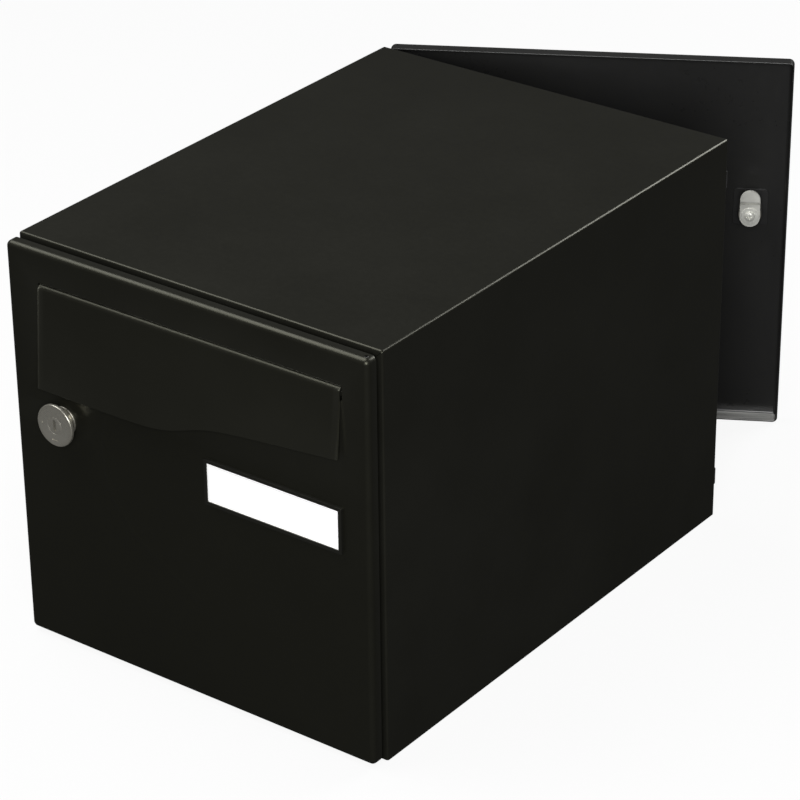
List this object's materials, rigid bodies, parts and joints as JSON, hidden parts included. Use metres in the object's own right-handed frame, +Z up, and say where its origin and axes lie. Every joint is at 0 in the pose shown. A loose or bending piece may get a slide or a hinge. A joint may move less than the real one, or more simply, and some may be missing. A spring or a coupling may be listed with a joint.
{
  "type": "parcel drop box",
  "caption": "Free-standing steel letter and parcel box, open through its depth, with a locking door at each end, a mail flap over a slot and a name plate in the front door.",
  "frame": {"origin": "centre of the box's underside, on the base plate", "axes": "front faces -Y, width along X, +Z up"},
  "size_m": [0.3, 0.5845, 0.3],
  "materials": {
    "body_paint": "satin black powder coat",
    "door_paint": "semi-gloss black powder coat",
    "rubber": "matt black rubber",
    "pin_steel": "bright drawn steel",
    "holder_plastic": "dark grey satin plastic",
    "card": "plain white card",
    "nickel": "satin nickel plate",
    "zinc": "bright zinc plate",
    "spring_steel": "blackened spring steel"
  },
  "bodies": {
    "root": {"casing": "body_paint", "base_plate": "body_paint", "front_neck": "body_paint", "front_stop": "body_paint", "rear_frame": "body_paint", "front_hinge_lugs": "body_paint", "rear_hinge_lugs": "body_paint", "front_door_buffers": "rubber", "rear_door_buffers": "rubber"},
    "front_door": {"front_door_panel": "door_paint", "front_hinge_pins": "pin_steel", "mail_guard": "door_paint", "guard_rivets": "door_paint", "flap_brackets": "door_paint", "flap_rod": "pin_steel", "flap_buffers": "rubber", "label_holder": "holder_plastic", "label_card": "card", "front_lock_barrel": "nickel", "front_lock_clip": "spring_steel"},
    "front_lock": {"front_lock_plug": "nickel", "front_lock_cam": "zinc", "front_cam_washer": "zinc", "front_cam_screw": "zinc"},
    "mail_flap": {"mail_flap": "door_paint"},
    "rear_door": {"rear_door_panel": "door_paint", "rear_hinge_pins": "pin_steel", "rear_lock_barrel": "nickel", "rear_lock_clip": "spring_steel"},
    "rear_lock": {"rear_lock_plug": "nickel", "rear_lock_cam": "zinc", "rear_cam_washer": "zinc", "rear_cam_screw": "zinc"}
  },
  "joints": [
    {"name": "front_door_hinge", "type": "hinge", "parent": "root", "child": "front_door", "pos_m": [0.145, -0.2096, 0], "axis": [0, 0, 1], "range_deg": [0, 110]},
    {"name": "mail_flap_hinge", "type": "hinge", "parent": "front_door", "child": "mail_flap", "pos_m": [0, -0.2116, 0.2707], "axis": [-1, 0, 0], "range_deg": [0, 75]},
    {"name": "front_lock_turn", "type": "hinge", "parent": "front_door", "child": "front_lock", "pos_m": [-0.1064, -0.2144, 0.1782], "axis": [0, -1, 0], "range_deg": [0, 90]},
    {"name": "rear_door_hinge", "type": "hinge", "parent": "root", "child": "rear_door", "pos_m": [-0.145, 0.2096, 0], "axis": [0, 0, 1], "range_deg": [-29.5, 70.5]},
    {"name": "rear_lock_turn", "type": "hinge", "parent": "rear_door", "child": "rear_lock", "pos_m": [0.08476, 0.34511, 0.1782], "axis": [-0.4924, 0.8704, 0], "range_deg": [0, 90]}
  ]
}
